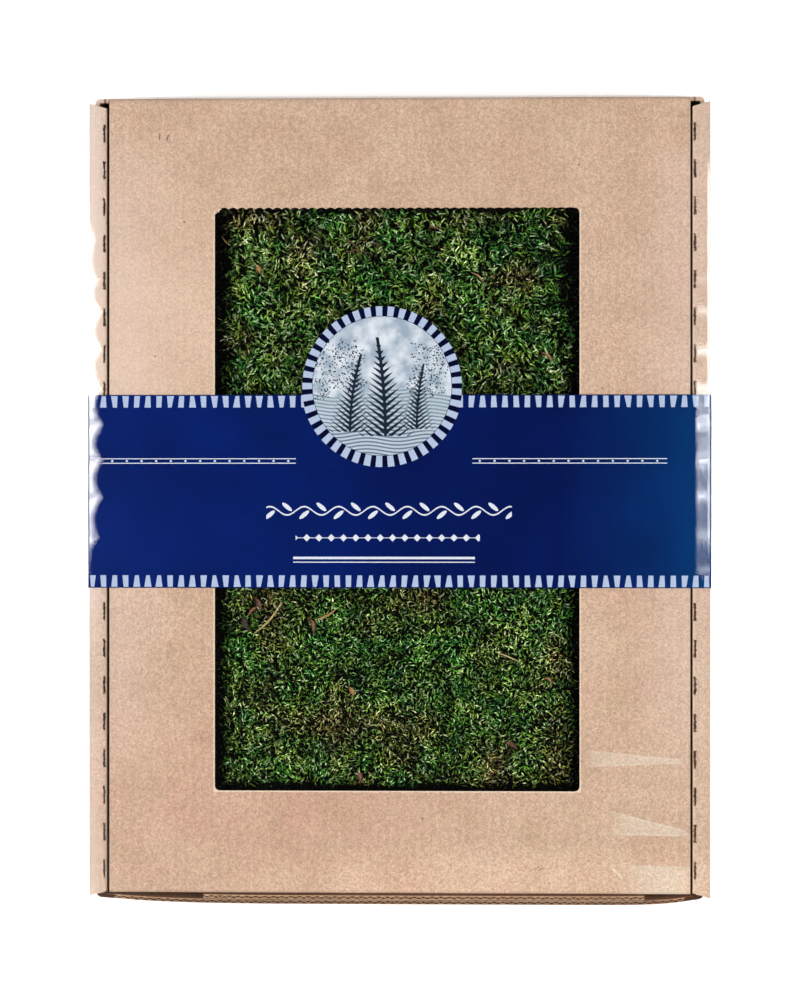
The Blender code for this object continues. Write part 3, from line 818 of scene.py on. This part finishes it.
def ceiling(x, y):
    """The height that moss may reach: lower under the lid, and just under the band and the film."""
    in_window = (x > WINDOW_LEFT) & (x < WINDOW_RIGHT) & (y > WINDOW_FRONT) & (y < WINDOW_BACK)
    under_band = (y > BAND_FRONT) & (y < BAND_BACK)
    under_tab = np.hypot(x - TAB_X, y - TAB_Y) < TAB_RADIUS
    open_top = np.where(under_band | under_tab, BOX_TOP + 0.2 * MM, BOX_TOP + 0.6 * MM)
    return np.where(in_window, open_top, LID_BOTTOM - 0.15 * MM)


print("under the lid moss stays below", round(LID_BOTTOM / MM, 2), "mm")

# %% Sow a patch
SHOW_MARGIN, ROOT_DEPTH = 5 * MM, 2.9 * MM


def places_in(low_x, high_x, low_y, high_y, spacing, rng):
    """Jittered places that a viewer can see into: the window, less what the band and tab hide."""
    gx, gy = np.meshgrid(np.arange(low_x, high_x, spacing), np.arange(low_y, high_y, spacing))
    x = gx.ravel() + rng.uniform(-0.5, 0.5, gx.size) * spacing
    y = gy.ravel() + rng.uniform(-0.5, 0.5, gx.size) * spacing
    hidden_band = (y > BAND_FRONT + SHOW_MARGIN) & (y < BAND_BACK - SHOW_MARGIN)
    hidden_tab = np.hypot(x - TAB_X, y - TAB_Y) < TAB_RADIUS - SHOW_MARGIN
    seen = ~(hidden_band | hidden_tab)
    return x[seen], y[seen]


def sow(name, masters, low_x, high_x, low_y, high_y, spacing, size, seed):
    """One patch of moss as a single mesh, with its tone, painted light and dryness on every point."""
    rng = np.random.default_rng(seed)
    x, y = places_in(low_x, high_x, low_y, high_y, spacing, rng)
    top = moss_top(x, y)
    kind = rng.integers(0, len(masters), len(x))
    flow = soft_noise(x, y, 14 * MM, 21) * 4 * np.pi
    turn = flow + rng.normal(0, 0.85, len(x))
    tilt = rng.normal(0, 0.35, len(x))
    scale = size * rng.uniform(0.75, 1.25, len(x))
    slim = scale * rng.uniform(0.9, 1.25, len(x))
    sink = rng.uniform(-0.4, 1.9, len(x)) * MM
    tone = np.clip(soft_noise(x, y, 9 * MM, 3) * 0.45 + rng.normal(0.24, 0.24, len(x)), 0, 1)
    # the shade painted on the moss is widest along the window's sides and narrowest at its back edge
    sides = (x - WINDOW_LEFT, WINDOW_RIGHT - x, (y - WINDOW_FRONT) * 1.5, (WINDOW_BACK - y) * 6)
    from_edge = np.minimum.reduce(sides)
    wider_behind = np.clip((y + 20 * MM) / (120 * MM), 0.25, 1)
    shade_width = (4.5 + 9.0 * soft_noise(x * 0, y, 17 * MM, 12) * wider_behind) * MM
    light = np.clip(from_edge / shade_width, 0, 1)
    light = 0.27 + 0.73 * light * light * (3 - 2 * light)
    sink = sink + (1 - light) * 1.6 * MM
    dry = np.clip(soft_noise(x, y, 13 * MM, 8) * 1.5 - 0.66 + rng.normal(0, 0.2, len(x)), 0, 1)
    points, corners, tones, lights, dries, count = [], [], [], [], [], 0
    for number, (master, triangles) in enumerate(masters):
        mine = np.flatnonzero(kind == number)
        n, m = len(mine), len(master)
        reach = master[:, 2].max()
        local = master[None] * np.stack((scale[mine], slim[mine], scale[mine]), 1)[:, None]
        ct, st = np.cos(tilt[mine])[:, None], np.sin(tilt[mine])[:, None]
        lx, lz = local[..., 0] * ct + local[..., 2] * st, local[..., 2] * ct - local[..., 0] * st
        ca, sa = np.cos(turn[mine])[:, None], np.sin(turn[mine])[:, None]
        px = x[mine, None] + lx * ca - local[..., 1] * sa
        py = y[mine, None] + lx * sa + local[..., 1] * ca
        pz = top[mine, None] - sink[mine, None] + lz - reach * scale[mine, None]
        pz = np.minimum(pz, ceiling(px, py) - 0.15 * MM * rng.random(px.shape))
        points.append(np.stack((px, py, pz), 2).reshape(-1, 3))
        offset = count + np.arange(n)[:, None, None] * m
        corners.append((triangles[None] + offset).reshape(-1, 3))
        # painted shade: the deeper a point lies, the darker the material paints it
        depth = top[mine, None] + 0.4 * MM - pz
        lit = np.clip(1 - depth / ROOT_DEPTH, 0, 1) * light[mine, None]
        lights.append(lit.ravel())
        tones.append(np.repeat(tone[mine], m))
        dries.append(np.repeat(dry[mine], m))
        count += n * m
    points, corners = np.concatenate(points), np.concatenate(corners)
    mesh = bpy.data.meshes.new(name)
    mesh.vertices.add(len(points))
    mesh.vertices.foreach_set("co", points.ravel())
    mesh.loops.add(corners.size)
    mesh.loops.foreach_set("vertex_index", corners.ravel())
    mesh.polygons.add(len(corners))
    mesh.polygons.foreach_set("loop_start", np.arange(0, corners.size, 3))
    mesh.polygons.foreach_set("use_smooth", np.ones(len(corners), bool))
    mesh.update(calc_edges=True)
    mesh.validate()
    for label, values in (("tone", tones), ("light", lights), ("dry", dries)):
        layer = mesh.attributes.new(label, "FLOAT", "POINT")
        layer.data.foreach_set("value", np.concatenate(values))
    patch = bpy.data.objects.new(name, mesh)
    bpy.context.collection.objects.link(patch)
    return patch


print("moss runs", round(SHOW_MARGIN / MM), "mm under the band")

# %% [markdown]
# ### Preserved moss
#
# Preserved moss is dyed and soaked in glycerine, so it stays soft and has a slight sheen. Tips are
# bright leaf green to yellow green, stems are deep green, and dry parts turn olive, tan and brown. The
# brightness is painted from the light number: dark in the painted shade, with a pale painted sheen on
# the best-lit tips, and a little brighter towards the front.

# %% Moss material
leaf, tree, shader = new_material("preserved_moss_leaf")
tone, light, dry = (add("Attribute", attribute_name=name, out="Fac") for name in ("tone", "light", "dry"))
place = add("TexCoord", out="Object")
patches = noise(place, 110.0, 2.0)
GREENS = ((0.0, "#123a0c"), (0.35, "#326f1a"), (0.6, "#5c962c"), (0.85, "#8aa84a"), (1.0, "#b4c488"))
green = gradient(tone, *GREENS)
green = mix(mapped(patches, 0.52, 0.66, 0.0, 0.5), green, "#1f7a35")
green = mix(mapped(patches, 0.48, 0.36, 0.0, 0.4), green, "#86962a")
brown = gradient(tone, (0.0, "#33200f"), (0.4, "#664e24"), (0.7, "#8d7c3e"), (1.0, "#c2a873"))
colour = mix(dry, green, brown)
# a pale painted sheen on the best-lit tips
colour = mix(mapped(light, 0.8, 1.0, 0.0, 0.42), colour, "#b0b2a0")
leaflets, clumps = noise(place, 1500.0, 1.0), noise(place, 75.0, 3.0)
# the painted light, times the leaflets' and clumps' own tone and a rise towards the front
painted_light_and_tone = mapped(light, 0.2, 0.95, 0.0, 2.3) * mapped(leaflets, 0.36, 0.64, 0.5, 1.5)
painted_light_and_tone = painted_light_and_tone * mapped(clumps, 0.34, 0.66, 0.62, 1.35)
painted_light_and_tone = painted_light_and_tone * mapped(add("SeparateXYZ", {0: place}, out=1), 0.02, -0.03, 0.92, 1.12)
plug(shader, {"Base Color": scaled(colour, painted_light_and_tone), "Roughness": 0.4, "Specular IOR Level": 0.35})
print("moss:", len(tree.nodes), "nodes")

# %% Sow the window
UNDER_LID = 4 * MM
low_x, high_x = WINDOW_LEFT - UNDER_LID, WINDOW_RIGHT + UNDER_LID
low_y, high_y = WINDOW_FRONT - UNDER_LID, WINDOW_BACK + UNDER_LID
back_y, front_y = BAND_BACK - SHOW_MARGIN, BAND_FRONT + SHOW_MARGIN
third = (high_x - low_x) / 3
COLUMNS = (
    ("left", low_x, low_x + third),
    ("middle", low_x + third, low_x + 2 * third),
    ("right", low_x + 2 * third, high_x),
)
ROWS = (
    # name, master shoots, from y, to y, spacing in mm, size of the shoots
    ("back", long_masters, back_y, high_y, 0.94, 0.88),
    ("front", short_masters, low_y, front_y, 0.8, 1.0),
)
seed, total = 40, 0
for row_name, masters, y0, y1, spacing, size in ROWS:
    for column_name, x0, x1 in COLUMNS:
        patch = sow(f"moss_{row_name}_{column_name}", masters, x0, x1, y0, y1, spacing * MM, size, seed)
        settle(patch, patch.name, leaf)
        seed, total = seed + 1, total + len(patch.data.polygons)
print("moss triangles", total)

# %% [markdown]
# ### Bits among the moss
#
# A gathered sheet brings other things along: curled dry leaves, straws, twigs and flakes of bark. Each
# one is a narrow grid, laid along a bowed line on top of the moss, twisted, and thickened by Solidify.

# %% Dry bits
BITS = (
    # from x and y, to x and y, width, bow, twist, tone
    (-59.5, -39.0, -56.8, -45.5, 1.9, 0.9, 1.9, 0.30),
    (-63.8, -46.0, -60.4, -53.6, 2.3, -1.2, 2.2, 0.12),
    (-48.2, -41.2, -59.2, -54.0, 0.8, 1.2, 0.6, 0.85),
    (-62.0, -47.0, -57.5, -43.0, 1.1, 0.6, 1.4, 0.45),
    (-37.4, -47.3, -35.2, -54.6, 1.7, 1.4, 2.4, 0.38),
    (-34.0, -48.4, -25.8, -44.0, 0.9, -0.8, 0.9, 0.72),
    (-20.4, -76.2, -18.6, -79.4, 1.9, 0.4, 1.0, 0.62),
    (-17.2, -109.6, -16.0, -115.0, 2.1, 0.5, 1.5, 0.34),
    (-58.6, 96.6, -57.0, 93.2, 1.9, 0.5, 1.1, 0.60),
    (-21.8, 107.2, -15.4, 100.6, 0.4, 0.7, 0.4, 0.42),
    (-24.4, 101.6, -15.6, 104.0, 0.6, -0.9, 1.3, 0.24),
    (-12.0, 105.4, -7.6, 103.6, 1.0, 0.6, 1.8, 0.20),
    (39.3, -61.6, 50.3, -66.3, 0.55, 0.3, 0.3, 0.95),
    (58.2, -72.9, 61.8, -75.6, 1.0, 2.2, 1.2, 0.55),
    (42.8, -98.6, 48.2, -101.2, 2.0, 0.8, 1.5, 0.26),
    (-65.9, 117.6, -66.4, 112.2, 0.45, 0.3, 0.2, 0.9),
    (-73.0, 108.6, -68.4, 104.2, 0.5, -0.5, 0.3, 0.8),
    (30.0, 93.0, 34.5, 88.6, 0.7, 0.8, 0.8, 0.7),
    (12.0, 112.0, 17.0, 110.6, 1.0, 0.5, 1.2, 0.35),
    (58.0, 60.5, 62.5, 57.0, 1.1, 0.8, 1.4, 0.5),
)
bits = []
for from_x, from_y, to_x, to_y, width, bow, twist, shade in BITS:
    bit = new_grid(9, 2)
    u, v, _ = points_of(bit).T
    u = u + 0.5
    run = np.array((to_x - from_x, to_y - from_y))
    run_length = np.hypot(*run)
    ahead, across = run / run_length, np.array((-run[1], run[0])) / run_length
    taper = width * (0.35 + 0.65 * np.sin(np.pi * np.clip(u * 0.9 + 0.05, 0, 1)))
    turn = twist * (u - 0.5)
    off = bow * 4 * u * (1 - u) + v * taper * np.cos(turn)
    x = (from_x + run_length * u * ahead[0] + off * across[0]) * MM
    y = (from_y + run_length * u * ahead[1] + off * across[1]) * MM
    lift = 0.9 * np.sin(np.pi * u) + v * taper * np.sin(turn) + 0.35 * np.abs(v) * taper
    z = np.minimum(moss_top(x, y).mean() + (lift - 0.3) * MM, ceiling(x, y) - 0.3 * MM)
    set_points(bit, x, y, z)
    layer = bit.data.attributes.new("shade", "FLOAT", "POINT")
    layer.data.foreach_set("value", shade + 0.12 * np.cos(2 * np.pi * v))
    thicken(bit, 0.14 * MM)
    bits.append(bit)
pick(*bits)
bpy.ops.object.join()
dry_leaf, tree, shader = new_material("dry_leaf_and_straw")
veins = noise(add("TexCoord", out="Object"), 700.0, 3.0)
shade = (veins - 0.5) * 0.5 + add("Attribute", attribute_name="shade", out="Fac")
BROWNS = ((0.05, "#1c0e0a"), (0.3, "#553022"), (0.5, "#8c5a3c"), (0.7, "#a88048"), (0.95, "#b9a977"))
plug(shader, {"Base Color": gradient(shade, *BROWNS), "Roughness": 0.6})
settle(bits[0], "dry_bits", dry_leaf)

# %% [markdown]
# At one corner of the window the top liner is torn. A ragged disc of paper stands in for the tear. It
# lies in the board outside the window, so that only its part in the corner shows.

# %% Torn corner of the window
bpy.ops.mesh.primitive_circle_add(vertices=26, radius=1, fill_type="TRIFAN")
torn_corner = bpy.context.object
rng = np.random.default_rng(9)
points = points_of(torn_corner)
ragged_edge = np.where(np.hypot(points[:, 0], points[:, 1]) > 0.5, rng.uniform(0.72, 1.12, len(points)), 0)
x = WINDOW_LEFT - 0.2 * MM + points[:, 0] * ragged_edge * 3.0 * MM
y = WINDOW_BACK + 0.5 * MM + points[:, 1] * ragged_edge * 2.6 * MM
inside_window = (x > WINDOW_LEFT - 0.1 * MM) & (y < WINDOW_BACK + 0.3 * MM)
z = BOX_TOP - 0.15 * MM - 0.35 * MM * inside_window * rng.random(len(points))
set_points(torn_corner, x, y, z)
thicken(torn_corner, 0.1 * MM)
fluff, tree, shader = new_material("torn_kraft_liner")
fuzz = noise(add("TexCoord", out="Object"), 900.0, 3.0)
torn_tone = gradient(fuzz, (0.4, "#cda689"), (0.6, "#ead3bf"))
plug(shader, {"Base Color": torn_tone, "Roughness": 0.95})
settle(torn_corner, "torn_window_corner", fluff)

# %% [markdown]
# ## Shrink film
#
# The film is two hundredths of a millimetre of clear plastic, shrunk tight. It can't be seen where it
# lies flat. Along the sides it is drawn down over the box in puckers, and there it mirrors a soft box in
# a scalloped white glint. The sheet is a box mesh with rounded edges, cut fine along its length. The
# puckers are in its material: a sum over the place says how much of the gloss leans to a soft box.

# %% Film mesh
FILM_TOP = film_high.z + 0.35 * MM
bpy.ops.mesh.primitive_cube_add(size=1, location=(0, 0, FILM_TOP / 2))
film = bpy.context.object
film.scale = (film_high.x - film_low.x, film_high.y - film_low.y, FILM_TOP)
bpy.ops.object.transform_apply(location=True, rotation=True, scale=True)


def select_where(obj, kind, test):
    """Selects only the faces or edges of an object in edit mode that pass a test."""
    bpy.ops.mesh.select_all(action="DESELECT")
    mesh = bmesh.from_edit_mesh(obj.data)
    bpy.context.tool_settings.mesh_select_mode = (False, kind == "edges", kind == "faces")
    for item in getattr(mesh, kind):
        if test(item):
            item.select_set(True)
    mesh.select_flush_mode()
    bmesh.update_edit_mesh(obj.data)


def span(edge, axis):
    return abs(edge.verts[0].co[axis] - edge.verts[1].co[axis])


OPENING, ROUNDING, SHOULDER = 14.1 * MM, 0.5 * MM, 0.75 * MM
start_edit()
bpy.ops.mesh.bevel(offset=ROUNDING, segments=3, affect="EDGES")
select_where(film, "faces", lambda f: abs(f.normal.y) > 0.99)
bpy.ops.mesh.inset(thickness=OPENING, use_individual=True)
bpy.ops.transform.resize(value=(0.885, 1, 1), center_override=(0, 0, FILM_TOP / 2))
bpy.ops.mesh.delete(type="FACE")
select_where(film, "edges", lambda e: span(e, 1) > 0.3)
bpy.ops.mesh.subdivide(number_cuts=100)
select_where(film, "edges", lambda e: span(e, 1) > 2 * MM)
bpy.ops.mesh.subdivide(number_cuts=1)
side_x, front_y, back_y = film_high.x - SHOULDER, film_low.y + SHOULDER, film_high.y - SHOULDER
for spot in ((-side_x, 0, 0), (side_x, 0, 0), (0, front_y, 0), (0, back_y, 0)):
    bpy.ops.mesh.select_all(action="SELECT")
    bpy.ops.mesh.bisect(plane_co=spot, plane_no=(spot[0] != 0, spot[1] != 0, 0))
select_where(film, "edges", lambda e: span(e, 0) > 0.2 and e.verts[0].co.z > 0.05)
bpy.ops.mesh.subdivide(number_cuts=56)
end_edit()
print("film", len(film.data.vertices), "points")

# %% Ripples of the film
x, y, z = points_of(film).T
ripple = 0.05 * MM * (soft_noise(x, y, 14 * MM, 33) - 0.5) * (z > FILM_TOP - 0.2 * MM)
wall_wave = (soft_noise(y, z, 7 * MM, 34) - 0.5) * 0.5 * MM * ((z < FILM_TOP - 2 * MM) & (z > 2 * MM))
x = x + np.sign(x) * np.where(np.abs(x) > film_high.x - 1.5 * MM, wall_wave, 0)
near_front = np.clip(1 - (y - film_low.y) / (20 * MM), 0, 1)
y = y + near_front * (front_face(x) - 0.35 * MM - film_low.y)
set_points(film, x, y, z + ripple)
thicken(film, 0.05 * MM)
bpy.ops.object.shade_smooth()
print("ripples up to", round(np.abs(ripple).max() / MM, 3), "mm")

# %% Film material
clear, tree, shader = new_material("clear_shrink_film")
tree.nodes.remove(shader)
output = next(node for node in tree.nodes if node.type == "OUTPUT_MATERIAL")
mm, x_mm, y_mm, z_mm = in_millimetres()
from_side = film_high.x / MM - abs(x_mm)


def held(low, high, fade):
    """1 between two places along the pack, in millimetres, fading to 0 outside them."""
    return ramp(y_mm, low, low + fade) * mapped(y_mm, high - fade, high, 1.0, 0.0)


PUCKER_PITCH, PUCKER_START = 15.0, 5.0
# each pucker ends in a cusp that points inwards
turn = (y_mm - PUCKER_START) / PUCKER_PITCH + noise(mm, 0.06, 2.0) * 0.5
cusp = 1.0 - abs(math_node("SINE", turn * math.pi))
hollow = math_node("SINE", (turn + 0.18) * (2 * math.pi))
on_paper = held(-37.0, 44.5, 1.5)
off_rim = ramp(from_side, 1.1, 1.6)

# left: a white scallop that grows towards the band
grown = held(-38.0, 134.0, 22.0) * 0.55 + held(-36.0, 116.0, 40.0) * 0.45
reach = (cusp * 3.0 + 5.0) * grown
scallop = ramp(reach - from_side, 0.0, 4.0) ** 1.7
dim = ramp(hollow, 0.55, 0.95) * ramp(from_side, 5.0, 3.6) * (on_paper * 0.5)
scallop = scallop * (1.0 - dim)

# right: a dull patch as wide as the strip, bright at the cusps, and a bright line near its rim
fading = held(-33.0, 60.0, 5.0) * 0.12 + ramp(y_mm, -30.0, 26.0) * ramp(y_mm, 96.0, 52.0) * 0.5
smear = noise(mm, 0.22, 3.0, Distortion=1.2)
smeared = mapped(smear, 0.35, 0.65, 0.55, 1.3)
lobes = fading * smeared * (ramp(cusp, 0.25, 0.95) * 0.85 + on_paper * 0.4)
lobes = lobes * ramp(smear * 1.6 + from_side, 8.3, 6.7)
line = ramp(from_side, 2.6, 2.0) * held(-26.0, 140.0, 12.0) * (cusp * 0.25 + 0.4)

shoulder = ((x_mm < 0.0) * scallop + (x_mm > 0.0) * most(lobes, line)) * off_rim

# the gloss, with fine ripples, and with a normal that leans half-way to a soft box at the puckers
bump = add("Bump", {"Height": noise(mm, 0.12, 2.0), "Strength": 0.035, "Distance": 1 * MM})
lean_x = math_node("SIGN", x_mm) * 0.27 + 0.02
lean_y = y_mm * -0.0008 + -0.086
leaning = add("VectorMath", {0: add("CombineXYZ", {0: lean_x, 1: lean_y, 2: 1.0})}, operation="NORMALIZE")
flat_gloss = add("BsdfGlossy", {"Color": "#ffffff", "Roughness": 0.05, "Normal": bump})
lean_gloss = add("BsdfGlossy", {"Color": "#ffffff", "Roughness": 0.05, "Normal": leaning})
gloss = add("MixShader", {0: least(shoulder, 1.0), 1: flat_gloss, 2: lean_gloss})

# seen steeply the film is greyer, and its walls mirror half as much as its top
steep = ramp(add("LayerWeight", {"Blend": 0.5}, out="Facing"), 0.45, 0.95)
steep = steep * ramp(y_mm, -162.0, -158.0) * ramp(z_mm, FILM_TOP / MM - 1.4, FILM_TOP / MM - 0.9)
tint = mix(steep, "#fafafa", "#d6d3d6")
through = add("BsdfTransparent", {"Color": tint})
mirror = least(add("Fresnel", {"IOR": 1.8, "Normal": bump}), 0.11)
facing_up = add("SeparateXYZ", {0: add("TexCoord", out="Normal")}, out=2)
on_wall = ramp(abs(facing_up), 0.9, 0.2)
mirror = mirror * (on_wall * -0.5 + 1.0)
sheet = add("MixShader", {0: mirror, 1: through, 2: gloss})
print("film:", len(tree.nodes), "nodes so far")

# %% Milky wrinkles of the film, with painted sheen
def wrinkle(x_low, x_high, back_y, back_slope, front_y, front_slope, soft, body, edge):
    """A flat fold of the film between two lines that start at x_low, painted milky, with a brighter rim of
    painted sheen.
    """
    run = x_mm - x_low
    back = run * back_slope + back_y - y_mm
    front = y_mm - (run * front_slope + front_y)
    inside = least(back, front)
    fill = mapped(inside, 0.0, 0.5, 0.0, body) * ramp(run, 0.4 * soft, 2.5 * soft)
    rim = mapped(abs(inside - 0.5), 0.5, 0.0, 0.0, edge)
    return (fill + rim) * ramp(run, 0.0, soft) * mapped(x_mm, x_high - 0.8 * soft, x_high, 1.0, 0.0)


# from x, to x, back line's y and slope, front line's y and slope, softness of the ends, body, edge
WRINKLES = (
    (74.2, 115.5, -100.8, -0.091, -108.3, 0.040, 2.4, 0.050, 0.022),
    (82.5, 118.3, -124.8, -0.250, -135.7, -0.014, 5.0, 0.060, 0.040),
    (85.6, 91.2, -147.2, -1.0, -148.5, -1.0, 1.2, 0.0, 0.13),
    (86.0, 118.6, -147.4, -0.02, -159.6, 0.0, 6.0, 0.060, 0.015),
)
haze_and_sheen = 0.0
for fold in WRINKLES:
    haze_and_sheen = most(haze_and_sheen, wrinkle(*fold))
# the wrinkles are painted milky white: a milky crease and a painted sheen in one
milky_sheen = add("BsdfDiffuse", {"Color": "#ecfbec"})
sheet = add("MixShader", {0: haze_and_sheen, 1: sheet, 2: milky_sheen})
print("milky wrinkles", len(WRINKLES))
# rays to a lamp and scattered rays pass a plain tint, which spares each of them the sums above
plain = add("BsdfTransparent", {"Color": "#efefef"})
for ray in ("Is Diffuse Ray", "Is Shadow Ray"):
    sheet = add("MixShader", {0: add("LightPath", out=ray), 1: sheet, 2: plain})
plug(output, {"Surface": sheet})
settle(film, "shrink_film", clear)
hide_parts("film_wrap")

# %% Finish
new_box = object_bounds()
for label, box in (("cad", cad_box), ("visual", new_box)):
    print(label, [[round(v / MM, 1) for v in corner] for corner in box])
